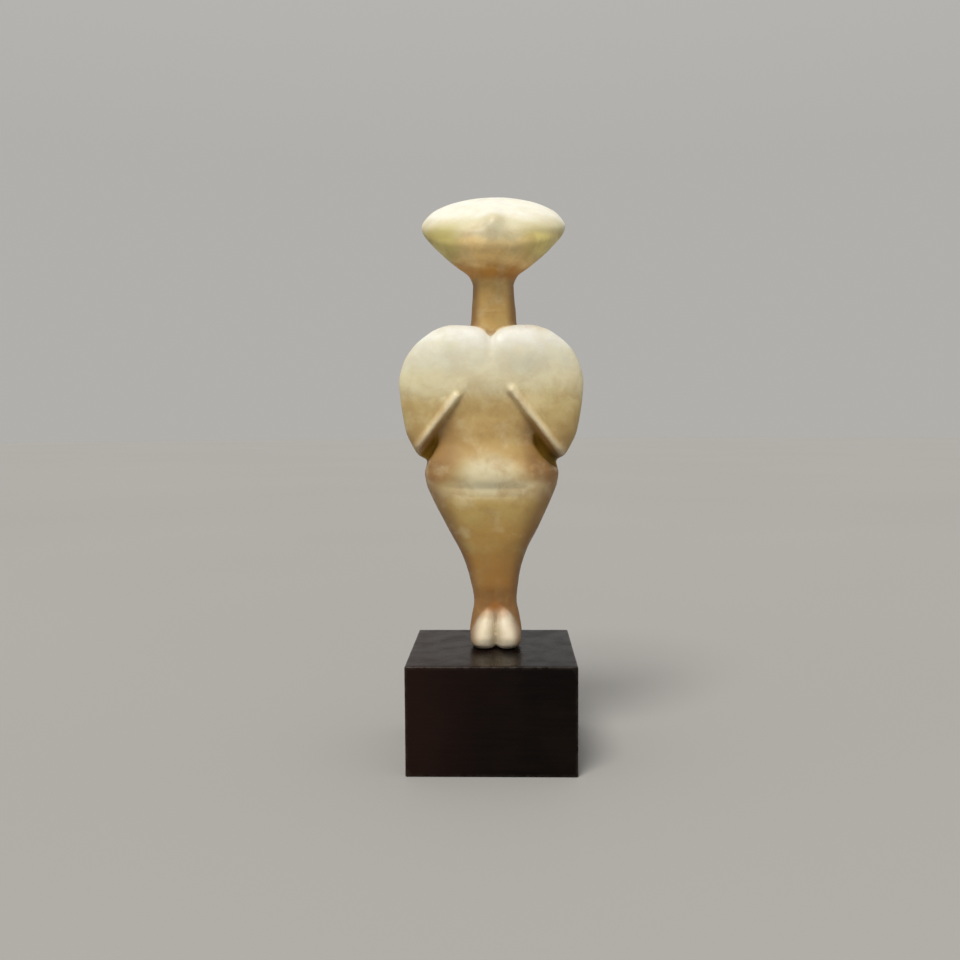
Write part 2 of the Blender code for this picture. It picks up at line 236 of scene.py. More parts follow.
# Painted shade on the waist's sides below the forearms, where the torso turns away from the light
WAIST_SIDE_MIDDLE = 1.5
WAIST_SIDE_ACROSS = (7.0, 9.0)
WAIST_SIDE_FOOT = (60.0, 4.0)
WAIST_SIDE_TOP = (90.0, 8.0)
WAIST_SIDE_BELOW_ARM = (0.5, 2.0)
# Painted light on the belly, in a pale oval where it faces up
PALE_BELLY_CENTRE = (-0.7, 64.3)
PALE_BELLY_HALF_WIDTH = 20.5
PALE_BELLY_NARROWING = 0.6
PALE_BELLY_WIDEST = 60.0
PALE_BELLY_HALF_HEIGHT = 10.2
PALE_BELLY_WANDER = 0.12
PALE_BELLY_WANDER_SIZE = 5.0
PALE_BELLY_SEED = 8
PALE_BELLY_EDGE = (1.0, 0.64)
HEAD_SIDE_ACROSS = (8.0, 9.0)
# Painted shade in olive on the head's sides, where they turn from the light, lighter on the left
OLIVE_FOOT = (139.0, 4.0)
OLIVE_TOP = (156.0, 5.0)
OLIVE_ON_LEFT = 0.60
# Painted light on the lower part of the head's sides, stronger on the left
CHEEK_FOOT = (142.0, 3.0)
CHEEK_TOP_RIGHT = 150.0
CHEEK_TOP_LEFT = 152.0
CHEEK_TOP_RUN = 3.0
CHEEK_ON_RIGHT = 0.35
CHEEK_ON_LEFT = 0.75
# Painted shade under the nose
NOSE_PATCH_CENTRE = (NECK_X, 150.5)
NOSE_PATCH_REACH = (4.6, 3.6)
SMUDGE_CENTRE = (11.5, 104.5)
SMUDGE_REACH = (5.0, 3.6)
# Painted shade on the left hip below the elbow, where the torso turns away from the light
HIP_SHADE_CENTRE = (17.0, 68.5)
HIP_SHADE_REACH = (4.5, 4.5)
SHADE_CENTRE = (23.0, 69.8)
SHADE_REACH = (2.8, 3.2)

# Looks. Clouds are (size, detail, roughness, warp, stretch), and the last ones may be left out. A span is
# (low, high), with what both ends turn into where that isn't 0 and 1.

# The patina's colour up the idol, as (height, colour), wandering up and down with clouds; some stops are
# painted light and shade
PATINA_TALL = 170.0
PATINA_WANDER = 9.0
PATINA_WANDER_CLOUDS = (0.011, 4.0)
PATINA_UP = (
    (0.0, (0.64, 0.56, 0.43)), (9.0, (0.66, 0.58, 0.44)), (16.0, (0.355, 0.135, 0.020)),
    (28.0, (0.41, 0.205, 0.044)), (40.0, (0.45, 0.265, 0.066)), (52.0, (0.54, 0.375, 0.120)),
    # 59: paler, painted light below the belly's mound, where shade falls
    (59.0, (0.76, 0.63, 0.36)), (64.0, (0.54, 0.38, 0.155)), (74.0, (0.50, 0.34, 0.125)),
    (88.0, (0.57, 0.44, 0.19)), (98.0, (0.69, 0.63, 0.41)), (107.0, (0.66, 0.64, 0.50)),
    (116.0, (0.76, 0.77, 0.72)), (134.0, (0.37, 0.120, 0.005)), (138.5, (0.56, 0.26, 0.038)),
    # 142 and 146: brighter, painted light on the head's underside; 149.5 and 154: darker, painted shade on
    #              the face's lower part
    (142.0, (0.90, 0.62, 0.24)), (146.0, (0.84, 0.64, 0.30)), (149.5, (0.55, 0.47, 0.27)),
    (154.0, (0.64, 0.59, 0.40)), (160.0, (0.80, 0.79, 0.69)), (169.0, (0.83, 0.83, 0.76)),
)

# How strongly patches and flecks show at each height, as (share of PATINA_TALL, strength)
PATCHES_UP = (
    (0.0, 0.25), (0.055, 0.3), (0.085, 1.0), (0.53, 0.9), (0.60, 0.35), (0.68, 0.25), (0.72, 0.8),
    (0.87, 0.7), (0.92, 0.18),
)
# Pale patches grow between two heights, from one strength to another
PALE_PATCHES_UP = (20.0, 42.0, 0.03, 0.25)

# Tints laid over the patina in this order, as (mask, strength, colour)
TINTS = (
    ("neck", 1.0, (0.62, 0.40, 0.130)),
    ("torso", 0.85, (0.50, 0.34, 0.125)),
    # Painted light on the belly where it faces up
    ("belly", 0.75, (0.60, 0.56, 0.38)),
    # Painted highlight along the tops of the forearm ridges
    ("forearm_highlight", 0.75, (0.76, 0.67, 0.45)),
    # Painted shade on the waist's sides below the forearms
    ("waist_side_shade", 0.70, (0.27, 0.135, 0.038)),
    # Painted shade towards the sides of the body and the neck
    ("side_shade", 0.85, (0.21, 0.100, 0.030)),
    ("smudge", 0.45, (0.46, 0.46, 0.36)),
    # Painted shade in olive on the head's sides
    ("olive_shade", 0.80, (0.42, 0.36, 0.090)),
    # Painted light on the lower part of the head's sides
    ("cheek_light", 1.0, (0.84, 0.72, 0.25)),
    # Painted shade under the nose
    ("nose_shade", 0.55, (0.42, 0.42, 0.29)),
    # Painted shade on the sides of the feet and across the shins above them
    ("flank_shade", 0.9, (0.26, 0.125, 0.035)),
)

# Patches, as (the clouds that they follow, the span of those over which they grow, strength, colour)
BROWN_PATCHES = ((0.0085, 5.0, 0.62, 0.4), (0.40, 0.68), 0.50, (0.36, 0.205, 0.062))
PALE_PATCHES = ((0.007, 4.0), (0.50, 0.75), 1.0, (0.78, 0.68, 0.44))
GREEN_PATCHES = ((0.013, 3.0), (0.50, 0.72), 0.22, (0.52, 0.49, 0.22))
FLECKS = ((0.0014, 3.0, 0.7), (0.60, 0.76), 0.30, (0.25, 0.135, 0.04))
# Painted shade on the left hip below the elbow, broken into patches
HIP_SHADE_PATCHES = ((0.004, 4.0), (0.30, 0.62), 0.9, (0.22, 0.115, 0.035))

# Darkening in tight hollows, painted shade in wide hollows and rubbed edges, as (look, span of its depths,
# strength, colour), then the darkest places: painted shade in the pockets and the left elbow's painted
# shadow on the hip
# Darker in tight hollows
TIGHT_HOLLOW_DARKENING = ("tight_hollow", (0.015, 0.10), 0.50, (0.20, 0.105, 0.03))
# Painted shade in wide hollows, darkest where they lie deepest
WIDE_HOLLOW_SHADE = ("wide_hollow", (0.5, 2.0), 0.35, (0.26, 0.14, 0.042))
RUBBED = ("tight_hollow", (-0.03, -0.09), 0.15, (0.80, 0.72, 0.52))
# Painted shade in the pockets under the elbows
SLOT_GAIN = 1.25
SLOT_SHADE_TINT = (0.280, 0.155, 0.020)
SHADE_STRENGTH = 0.80
SHADE_TINT = (0.045, 0.038, 0.014)

# The stone's gloss, the light that sinks into it, and its finest relief, as (clouds, height, strength)
STONE_SMEARS = (0.004, 4.0)
STONE_ROUGHNESS = (0.3, 0.7, 0.42, 0.62)
STONE_SPECULAR = 0.5
SLOT_DULLING = 0.45
SUNK_LIGHT = 0.08
SUNK_LIGHT_COLOURS = (1.0, 0.62, 0.34)
SUNK_LIGHT_DEPTH = 0.0022
CRYSTALS = ((0.00055, 2.0, 0.6), 0.00003, 0.5)
WORN_STONE = ((0.0026, 5.0, 0.65), 0.00012, 0.6)

# The block's lacquered wood
WOOD_LINES = (0.0011, 5.0, 0.7, 0.0, (0.05, 1.0, 1.0))
WOOD_TONES = ((0.30, (0.0010, 0.0004, 0.0003)), (0.72, (0.0040, 0.0016, 0.0010)))
WOOD_CLOUDS = (0.02, 3.0)
WOOD_CLOUD_SHARE = (0.4, 0.7, 0.0, 0.5)
WOOD_CLOUD_TONE = (0.0085, 0.0034, 0.0022)
# Painted reflection, a reddish-brown sheen growing towards the block's -X side
PAINTED_REFLECTION_SHARE = (0.012, -0.034, 0.0, 0.5)
PAINTED_REFLECTION_TONE = (0.0210, 0.0075, 0.0045)
SCUFF_SHARE = (0.35, 1.0, 0.0, 0.38)
SCUFF_CLOUDS = (0.003, 4.0)
SCUFF_SPAN = (0.35, 0.6)
SCUFF_TONE = (0.075, 0.058, 0.048)
LACQUER_SMEARS = (0.008, 4.0, 0.6)
LACQUER_ROUGHNESS = (0.3, 0.75, 0.22, 0.36)
LACQUER_SPECULAR = 0.10
WOOD_RELIEF = (0.00002, 0.35)
LACQUER_WAVES = ((0.006, 3.0), 0.00004, 0.3)

# The block's form, with edges cut until none is longer than two steps. Its wave is (share, size, seed), and
# the one at its edges is (size, seed).
BLOCK_STEP = 0.0015
BLOCK_CUT_ROUNDS = 5
BLOCK_EDGE = 0.0006
BLOCK_EDGE_STEPS = 4
BLOCK_RUBBED = 0.0014
BLOCK_SWELL = 0.00005
BLOCK_WAVE = (0.6, 0.018, 21)
BLOCK_EDGE_WAVE = (0.004, 22)
BLOCK_WAVE_TOP = 1.2
BLOCK_BASE_KEPT = 0.0007

# The floor
FLOOR_RADIUS = 6.0
FLOOR_CORNERS = 96
FLOOR_CLOUDS = (0.6, 2.0)
FLOOR_TONES = ((0.3, (0.330, 0.325, 0.318)), (0.7, (0.340, 0.335, 0.328)))
FLOOR_ROUGHNESS = 0.8
FLOOR_RELIEF = ((0.002, 2.0), 0.00003, 0.3)

# Light and camera
KEY_FROM = (-0.24, -0.58, 1.0)
KEY_POWER = 2.75
KEY_SPREAD = math.radians(26.0)
KEY_COLOUR = (1.0, 0.965, 0.90)
AMBIENT_LEVEL = (0.44, 0.43, 0.413)
AMBIENT_ABOVE = (0.58, 0.57, 0.55)
AMBIENT_LEVEL_UP_TO = 0.25
CAMERA_PLACE = (0.0056, -0.3618, 0.1238)
CAMERA_TURN = math.radians(1.56)
CAMERA_DOWN = math.radians(3.57)
CAMERA_ROLL = math.radians(-0.33)
CAMERA_LENS = 36.75
CAMERA_SENSOR = 36.0
CAMERA_NEAREST = 0.01

# Points this near to each other are merged, and no fade is shorter than the least run
MERGE_WITHIN = 1e-7
LEAST_RUN = 1e-6


def curve_through(points, at):
    """A smooth curve through points of rising place that never overshoots them."""
    places, values = np.array(points, float).T
    steps = np.diff(places)
    slopes = np.diff(values) / steps
    tangents = np.zeros(len(places))
    same_way = slopes[1:] * slopes[:-1] > 0
    sums = np.where(same_way, slopes[1:] + slopes[:-1], 1.0)
    tangents[1:-1] = np.where(same_way, 2 * slopes[1:] * slopes[:-1] / sums, 0.0)
    tangents[0] = slopes[0]
    tangents[-1] = slopes[-1]
    at = np.clip(at, places[0], places[-1])
    left = np.clip(np.searchsorted(places, at, side="right") - 1, 0, len(steps) - 1)
    width = steps[left]
    t = (at - places[left]) / width
    rise = values[left + 1] - values[left]
    start = tangents[left] * width
    end = tangents[left + 1] * width
    return values[left] + t * (start + t * (3 * rise - 2 * start - end + t * (start + end - 2 * rise)))


def ease(share):
    """0 to 1 with a soft start and end."""
    share = np.clip(share, 0.0, 1.0)
    return share * share * (3 - 2 * share)


def rises(value, start, run):
    """0 up to the start, then a soft climb to 1 over the run."""
    return ease((value - start) / run)


def falls(value, end, run):
    """A soft drop from 1 over the run before the end, then 0."""
    return ease((end - value) / run)


def spot(x, height, centre, reach):
    """1 at the centre, fading out over the reach."""
    return np.exp(-(((x - centre[0]) / reach[0]) ** 2) - ((height - centre[1]) / reach[1]) ** 2)


def rounded(share, roundness):
    """Height of an oval of half height 1 at this share of its half width."""
    return (1 - np.minimum(np.abs(share), 1.0) ** roundness) ** (1 / roundness)


def above_forearm(x, height, elbow, hand):
    """How far a place lies above the line from an elbow to its hand."""
    run = hand[0] - elbow[0]
    climb = hand[1] - elbow[1]
    return ((height - elbow[1]) * abs(run) - (x - elbow[0]) * climb * np.sign(run)) / math.hypot(run, climb)


def along_forearm(x, height, elbow, hand):
    """How far a place lies from the elbow towards the hand, and how far short of the hand."""
    run = np.array(hand) - np.array(elbow)
    length = math.hypot(*run)
    along = ((x - elbow[0]) * run[0] + (height - elbow[1]) * run[1]) / length
    return along, length - along


def above_arms(x, height):
    """How far a place lies above the line of the forearm on its own side."""
    right = above_forearm(x, height, RIGHT_ELBOW, RIGHT_HAND)
    left = above_forearm(x, height, LEFT_ELBOW, LEFT_HAND)
    return np.where(x < 0, right, left)


def forearm_ridge(x, height):
    """0 to 1 across each forearm: steep on its lower side, soft on its upper side and at the hand."""
    from_elbow, from_hand = along_forearm(x, height, RIGHT_ELBOW, RIGHT_HAND)
    left_from_elbow, left_from_hand = along_forearm(x, height, LEFT_ELBOW, LEFT_HAND)
    from_elbow = np.where(x < 0, from_elbow, left_from_elbow)
    from_hand = np.where(x < 0, from_hand, left_from_hand)
    above = above_arms(x, height)
    low_side = ease((FOREARM_HALF_WIDTH + above) / FOREARM_LOW_EDGE)
    high_side = ease((FOREARM_HALF_WIDTH - above) / FOREARM_HIGH_EDGE)
    elbow_end = ease(from_elbow / FOREARM_END + ELBOW_FULLNESS)
    hand_end = ease(from_hand / FOREARM_END + HAND_FULLNESS)
    return low_side * high_side * elbow_end * hand_end


def middle_depth(height):
    """Where the middle between the body's front and back stands, as y."""
    return (curve_through(BACK, height) - curve_through(FRONT, height)) / 2


def arm_front(x, height, half_width):
    """How far the chest and the arms stand forward of the body's middle depth."""
    reach = (CHEST_FRONT + middle_depth(height)) * ease((height - ELBOW_HEIGHT) / ELBOW_ROUNDING)
    return reach * rounded(x / half_width, SECTION_ROUNDNESS)


def torso_front(x, height, half_width):
    """How far the torso, the legs and the feet stand forward of the body's middle depth."""
    own_width = np.where(height < HIP_HEIGHT, half_width, curve_through(WAIST, height))
    from_middle = np.abs(x - curve_through(WAIST_SHIFT, height))
    middle = middle_depth(height)
    column = curve_through(FRONT, height) + middle
    column = column * rounded(from_middle / own_width, SECTION_ROUNDNESS)
    edge = WAIST_EDGE * rises(height, HIP_HEIGHT, WAIST_EDGE) * falls(height, CHEST_HEIGHT, WAIST_EDGE)
    column = column * ease((own_width - from_middle) / np.maximum(edge, LEAST_RUN))
    foot = curve_through(FOOT_FRONT, height) + middle
    foot = foot * rounded(np.abs(x) / curve_through(FOOT_WIDTH, height) - 1, FOOT_ROUNDNESS)
    return np.maximum(column, foot) + belly(x, height)


def belly(x, height):
    """How far the belly stands out of the torso, with the cut line of its fold taken off."""
    lift = FOLD_RISE * x * x
    above_fold = height - lift - BELLY_FOOT
    mound = ease((BELLY_TOP - height) / (BELLY_TOP - BELLY_CREST))
    mound = mound * ease(above_fold / (BELLY_CREST - BELLY_FOOT))
    ends = ease((x - FOLD_FROM) / FOLD_TAPER) * ease((FOLD_TO - x) / FOLD_TAPER)
    fold = FOLD_DEPTH * ends * np.exp(-((above_fold / FOLD_WIDTH) ** 2))
    return BELLY_RISE * mound * rounded(x / BELLY_HALF_WIDTH, BELLY_ROUNDNESS) - fold


def body_point_y(x, height, half_width, is_front):
    """Depth of the body's surface, in parts, on its front or its back."""
    middle = middle_depth(height)
    across = rounded(x / half_width, SECTION_ROUNDNESS)
    back = (curve_through(BACK, height) - middle) * across
    arms = arm_front(x, height, half_width)
    arms = arms * ease((ARM_UNDERSIDE + above_arms(x, height)) / ARM_UNDERSIDE_EDGE)
    arms = arms + FOREARM_RISE * forearm_ridge(x, height)
    torso = torso_front(x, height, half_width)
    meeting = MEETING_SOFTNESS * rises(height, HIP_HEIGHT, MEETING_FOOT_RUN)
    meeting = meeting * falls(height, CHEST_HEIGHT, MEETING_TOP_RUN) * across
    front = (torso + arms + np.hypot(torso - arms, meeting)) / 2
    return middle + np.where(is_front, -front, back)


def body_rings():
    """Rings from the soles to the shoulders' top edge, the last ones bent to follow that edge."""
    turn = 2 * np.pi * np.arange(BODY_COLUMNS) / BODY_COLUMNS
    across = np.sign(np.cos(turn)) * np.abs(np.cos(turn)) ** (2 / SECTION_ROUNDNESS)
    is_front = np.sin(turn) < 0
    rings = []
    for level in np.linspace(0.0, CHEST_HEIGHT, BODY_ROWS + 1):
        height = np.full(BODY_COLUMNS, level)
        half_width = curve_through(OUTLINE, height)
        x = across * half_width
        y = body_point_y(x, height, half_width, is_front)
        rings.append(np.stack([x + curve_through(LEAN, height), y, height], axis=1))
    widest = SHOULDER_EDGE[-1][1]
    for row in range(1, SHOULDER_ROWS + 1):
        climb = math.sin(math.pi / 2 * row / SHOULDER_ROWS)
        half_width = curve_through(OUTLINE, CHEST_HEIGHT + climb * (widest - CHEST_HEIGHT))
        x = across * half_width
        height = CHEST_HEIGHT + climb * (curve_through(SHOULDER_EDGE, np.abs(x)) - CHEST_HEIGHT)
        middle = middle_depth(height)
        thinning = rounded(climb, SHOULDER_ROUNDNESS)
        y = middle + thinning * (body_point_y(x, height, half_width, is_front) - middle)
        rings.append(np.stack([x, y, height], axis=1))
    return rings


def profile_at(profile, step):
    """Both numbers of a profile at a step along it."""
    return [curve_through(list(enumerate(values)), step) for values in zip(*profile)]


def through_three(front, side, back, turn):
    """A value around a ring that passes through the front, the sides and the back."""
    return side + (back - front) / 2 * np.sin(turn) + ((back + front) / 2 - side) * np.sin(turn) ** 2


def nose_rise(x, y):
    """How far the nose stands out of the face."""
    along = ease((y - NOSE_TIP) / NOSE_END) * ease((NOSE_ROOT - y) / (NOSE_ROOT - NOSE_TIP))
    return NOSE_RISE * along * ease(1 - np.abs(x) / NOSE_HALF_WIDTH)


def head_rings():
    """Rings up the neck, out along the head's underside to its edge, and in over the face."""
    turn = 2 * np.pi * np.arange(HEAD_COLUMNS) / HEAD_COLUMNS
    rings = []
    for row in range(NECK_ROWS):
        height = NECK_BOTTOM + (NECK_TOP - NECK_BOTTOM) * row / NECK_ROWS
        x = NECK_X + curve_through(NECK_WIDTH, height) * np.cos(turn)
        y = curve_through(NECK_Y, height) + curve_through(NECK_HALF_DEPTH, height) * np.sin(turn)
        rings.append(np.stack([x, y, np.full(HEAD_COLUMNS, height)], axis=1))
    last_step = len(SIDE_PROFILE) - 1
    off_side = np.arcsin(np.abs(np.sin(turn)))
    for row in range(HEAD_ROWS + 1):
        step = last_step * row / HEAD_ROWS
        chin = profile_at(CHIN_PROFILE, step)
        side = profile_at(SIDE_PROFILE, step)
        crown = profile_at(CROWN_PROFILE, step)
        ear = EAR_REACH * math.exp(-((step - EAR_STEP) ** 2)) * np.exp(-((off_side / EAR_SPREAD) ** 2))
        across = side[0] * np.cos(turn) * (1 + ear)
        y = through_three(chin[0], (chin[0] + crown[0]) / 2, crown[0], turn)
        height = through_three(chin[1], side[1], crown[1], turn)
        nose = nose_rise(across, y) if step > EAR_STEP else 0.0
        y = y - nose * math.sin(FACE_SLOPE)
        rings.append(np.stack([NECK_X + across, y, height + nose * math.cos(FACE_SLOPE)], axis=1))
    return rings


def surface_through(rings, first_point):
    """Points and faces of a closed surface through rings."""
    count = len(rings[0])
    faces = []
    for row in range(len(rings) - 1):
        low = first_point + row * count
        for column in range(count):
            beside = (column + 1) % count
            faces.append((low + column, low + beside, low + count + beside, low + count + column))
    faces.append(tuple(range(first_point + count - 1, first_point - 1, -1)))
    last = first_point + (len(rings) - 1) * count
    faces.append(tuple(range(last, last + count)))
    return np.concatenate(rings), faces


def settle(mesh_object):
    """Works the object's modifiers into its mesh."""
    graph = bpy.context.evaluated_depsgraph_get()
    mesh = bpy.data.meshes.new_from_object(mesh_object.evaluated_get(graph))
    mesh_object.modifiers.clear()
    mesh_object.data = mesh


def even_skin(name, forms, step):
    """One mesh object with an even skin over all the forms, in metres."""
    points, faces = [], []
    for rings in forms:
        more_points, more_faces = surface_through(rings, sum(len(p) for p in points))
        points.append(more_points)
        faces.extend(more_faces)
    mesh = bpy.data.meshes.new(name)
    points = np.concatenate(points) * PART + np.array([0.0, 0.0, IDOL_LOW.z])
    mesh.from_pydata(points.tolist(), [], faces)
    shape = bmesh.new()
    shape.from_mesh(mesh)
    bmesh.ops.remove_doubles(shape, verts=shape.verts, dist=MERGE_WITHIN)
    shape.to_mesh(mesh)
    shape.free()
    made = bpy.data.objects.new(name, mesh)
    bpy.context.scene.collection.objects.link(made)
    skin = made.modifiers.new("skin", "REMESH")
    skin.mode = "VOXEL"
    skin.voxel_size = step
    settle(made)
    return made


def places_of(mesh):
    """The place of each point of a mesh."""
    places = np.empty(len(mesh.vertices) * 3)
    mesh.vertices.foreach_get("co", places)
    return places.reshape(-1, 3)


def directions_of(mesh):
    """The way out of the surface at each point of a mesh."""
    directions = np.empty(len(mesh.vertices) * 3)
    mesh.vertices.foreach_get("normal", directions)
    return directions.reshape(-1, 3)


def put_places(mesh, places):
    """Moves the points of a mesh to these places."""
    mesh.vertices.foreach_set("co", places.ravel())
    mesh.update()


def edge_pairs(mesh):
    """The two ends of each edge of a mesh."""
    pairs = np.empty(len(mesh.edges) * 2, np.int32)
    mesh.edges.foreach_get("vertices", pairs)
    return pairs.reshape(-1, 2)


def relaxed(places, pairs, rounds):
    """Places drawn half way to the average of their neighbours, this many times."""
    count = len(places)
    near = np.bincount(pairs.ravel(), minlength=count)
    for _ in range(rounds):
        average = np.empty_like(places)
        for axis in range(places.shape[1]):
            values = places[:, axis]
            total = np.bincount(pairs[:, 0], values[pairs[:, 1]], count)
            total = total + np.bincount(pairs[:, 1], values[pairs[:, 0]], count)
            average[:, axis] = total / near
        places = places + (average - places) / 2
    return places


def grain(places, size, seed):
    """Noise from -1 to 1 at each place, with lumps of about this size."""
    shift = Vector([seed * stride for stride in GRAIN_STRIDES])
    return np.array([noise.noise(Vector(place) / size + shift) for place in places])


def pits(places, size, share, seed):
    """1 in the middle of scattered pits of about this size, 0 between them."""
    shift = Vector([seed * stride for stride in PIT_STRIDES])
    found = np.zeros(len(places))
    for index, place in enumerate(places):
        distances, centres = noise.voronoi(Vector(place) / size + shift)
        if noise.cell(centres[0] * PIT_PICK) < share * 2 - 1:
            found[index] = 1 - min(distances[0] / PIT_RADIUS, 1.0)
    return ease(found)


def store(mesh, name, values):
    """Keeps a number at each place of a mesh, for its colours to follow."""
    kept = mesh.attributes.new(name, "FLOAT", "POINT")
    kept.data.foreach_set("value", values.astype(np.float32))


def shade_smooth(mesh):
    """Lets the light run smoothly over the faces of a mesh."""
    for polygon in mesh.polygons:
        polygon.use_smooth = True


def in_parts(places):
    """Places on the idol in parts, with heights counted from its soles."""
    return (places - np.array([0.0, 0.0, IDOL_LOW.z])) / PART


def soften_skin(mesh, pairs):
    """Evens out the skin's steps, and most of all the meeting of the neck and the back."""
    places = relaxed(places_of(mesh), pairs, SOFTENING_ROUNDS)
    x, y, height = in_parts(places).T
    nape = rises(y, *NAPE_BACK) * rises(height, *NAPE_FOOT)
    nape = nape * falls(height, *NAPE_TOP) * falls(np.abs(x), *NAPE_SIDE)
    put_places(mesh, places + nape[:, None] * (relaxed(places, pairs, NAPE_ROUNDS) - places))


def wear_and_cuts(places, facing):
    """How far the surface is moved out by fine carving and wear, in parts."""
    x, _, height = places.T
    move = sum(depth * grain(places, size, seed) for depth, size, seed in UNEVENNESS)
    line = SECOND_CUT_HEIGHT + SECOND_CUT_RISE * (x - SECOND_CUT_MIDDLE) ** 2
    line = line + SECOND_CUT_WANDER * grain(places, SECOND_CUT_WANDER_SIZE, SECOND_CUT_SEED)
    second_cut = np.exp(-(((height - line) / CUT_HALF_WIDTH) ** 2)) * facing
    move -= SECOND_CUT_DEPTH * second_cut * rises(x, *SECOND_CUT_FROM) * falls(x, *SECOND_CUT_TO)
    neck_line = np.exp(-(((height - NECK_LINE_HEIGHT) / CUT_HALF_WIDTH) ** 2)) * facing
    move += NECK_LINE_RISE * neck_line * falls(np.abs(x - NECK_X), *NECK_LINE_SIDE)
    ragged = np.clip(RAGGED_LEVEL + RAGGED_SWING * grain(places, RAGGED_SIZE, RAGGED_SEED), 0.0, 1.0)
    move -= sum(depth * pits(places, size, PIT_SHARE, seed) for depth, size, seed in PITS) * ragged
    return move * rises(height, *SOLE_KEPT)


def hollows(mesh, pairs, rounds):
    """How deep each place lies below the ones around it, in parts. The more rounds, the wider the look."""
    places = places_of(mesh)
    return np.einsum("ij,ij->i", relaxed(places, pairs, rounds) - places, directions_of(mesh)) / PART


def body_masks(x, y, height):
    """How much of each tint lies on each place of the body and the neck, by the tint's name."""
    above = above_arms(x, height)
    from_waist = x - curve_through(WAIST_SHIFT, height)
    past_waist = np.abs(from_waist) - curve_through(WAIST, height)
    half_width = np.maximum(curve_through(OUTLINE, height), LEAST_HALF_WIDTH)
    middle = middle_depth(height)
    is_front = ease(0.5 - (y - middle) / FRONT_RUN)
    arm_surface = middle - arm_front(x, np.maximum(height, SLOT_ARM_FOOT), half_width)

    # Painted shade in the pockets under the elbows, behind the forearms
    slot_shade = rises(past_waist, *SLOT_ACROSS) * rises(height, *SLOT_FOOT) * falls(height, *SLOT_TOP)
    slot_shade = slot_shade * falls(above, *SLOT_BELOW_ARM) * rises(y - arm_surface, *SLOT_BEHIND_ARM)
    torso = falls(above, *TORSO_BELOW_ARM) * rises(height, *TORSO_FOOT) * falls(height, *TORSO_TOP)
    # Painted shade on the waist's sides below the forearms, where the torso turns away from the light
    waist_side_shade = rises(np.abs(from_waist - WAIST_SIDE_MIDDLE), *WAIST_SIDE_ACROSS)
    waist_side_shade = waist_side_shade * rises(height, *WAIST_SIDE_FOOT) * falls(height, *WAIST_SIDE_TOP)
    waist_side_shade = waist_side_shade * falls(above, *WAIST_SIDE_BELOW_ARM)

    # Painted light on the belly, in a pale oval where it faces up
    half_belly = PALE_BELLY_HALF_WIDTH - PALE_BELLY_NARROWING * (height - PALE_BELLY_WIDEST)
    across_belly = (x - PALE_BELLY_CENTRE[0]) / half_belly
    up_belly = (height - PALE_BELLY_CENTRE[1]) / PALE_BELLY_HALF_HEIGHT
    places = np.stack([x, y, height], axis=1)
    wander = PALE_BELLY_WANDER * grain(places, PALE_BELLY_WANDER_SIZE, PALE_BELLY_SEED)
    belly_light = falls(np.hypot(across_belly, up_belly) + wander, *PALE_BELLY_EDGE)

    around_neck = ((x - NECK_X) / curve_through(NECK_WIDTH, height)) ** 2
    around_neck += ((y - curve_through(NECK_Y, height)) / curve_through(NECK_HALF_DEPTH, height)) ** 2
    neck = falls(around_neck, *NECK_AROUND) * rises(height, *NECK_TINT_FOOT)
    neck = neck * falls(height, *NECK_TINT_TOP)
    past_toes = np.abs(x - LEAN[0][1]) - curve_through(WHITE_TOES, height)
    # Painted shade towards the sides of the body and the neck, where they turn from the light
    side_shade = rises(np.abs(x - curve_through(LEAN, height)) / half_width, *RIM_ACROSS)
    side_shade = side_shade * (RIM_ON_ARMS + (1 - RIM_ON_ARMS) * falls(height, *RIM_WAIST)) * falls(height, *RIM_TOP)
    return {
        "slot_shade": slot_shade * is_front,
        "torso": torso * is_front,
        # Painted highlight along the tops of the forearm ridges
        "forearm_highlight": forearm_ridge(x, height) * is_front,
        "belly": belly_light * is_front,
        "neck": neck,
        "side_shade": np.maximum(side_shade, neck * rises(np.abs(x - NECK_X), *NECK_SIDE)),
        "waist_side_shade": waist_side_shade * is_front,
        # Painted shade on the sides of the feet beside their pale tops
        "flank_shade": rises(past_toes, 0.0, FLANK_RUN) * falls(height, *FLANK_TOP),
        "smudge": spot(x, height, SMUDGE_CENTRE, SMUDGE_REACH) * is_front,
        # Painted shade on the left hip below the elbow
        "hip_shade": spot(x, height, HIP_SHADE_CENTRE, HIP_SHADE_REACH) * is_front,
        "shade": spot(x, height, SHADE_CENTRE, SHADE_REACH) * is_front,
    }


def head_masks(x, height):
    """How much of each tint lies on each place of the head, by the tint's name."""
    is_left = x > NECK_X
    at_side = rises(np.abs(x - NECK_X), *HEAD_SIDE_ACROSS)
    # Painted shade in olive on the head's sides, lighter on the left
    olive_shade = at_side * rises(height, *OLIVE_FOOT) * falls(height, *OLIVE_TOP)
    # Painted light on the lower part of the head's sides, stronger on the left
    cheek_light = falls(height, np.where(is_left, CHEEK_TOP_LEFT, CHEEK_TOP_RIGHT), CHEEK_TOP_RUN)
    cheek_light = cheek_light * rises(height, *CHEEK_FOOT) * at_side
    return {
        "olive_shade": olive_shade * np.where(is_left, OLIVE_ON_LEFT, 1.0),
        "cheek_light": cheek_light * np.where(is_left, CHEEK_ON_LEFT, CHEEK_ON_RIGHT),
        # Painted shade under the nose
        "nose_shade": spot(x, height, NOSE_PATCH_CENTRE, NOSE_PATCH_REACH),
    }


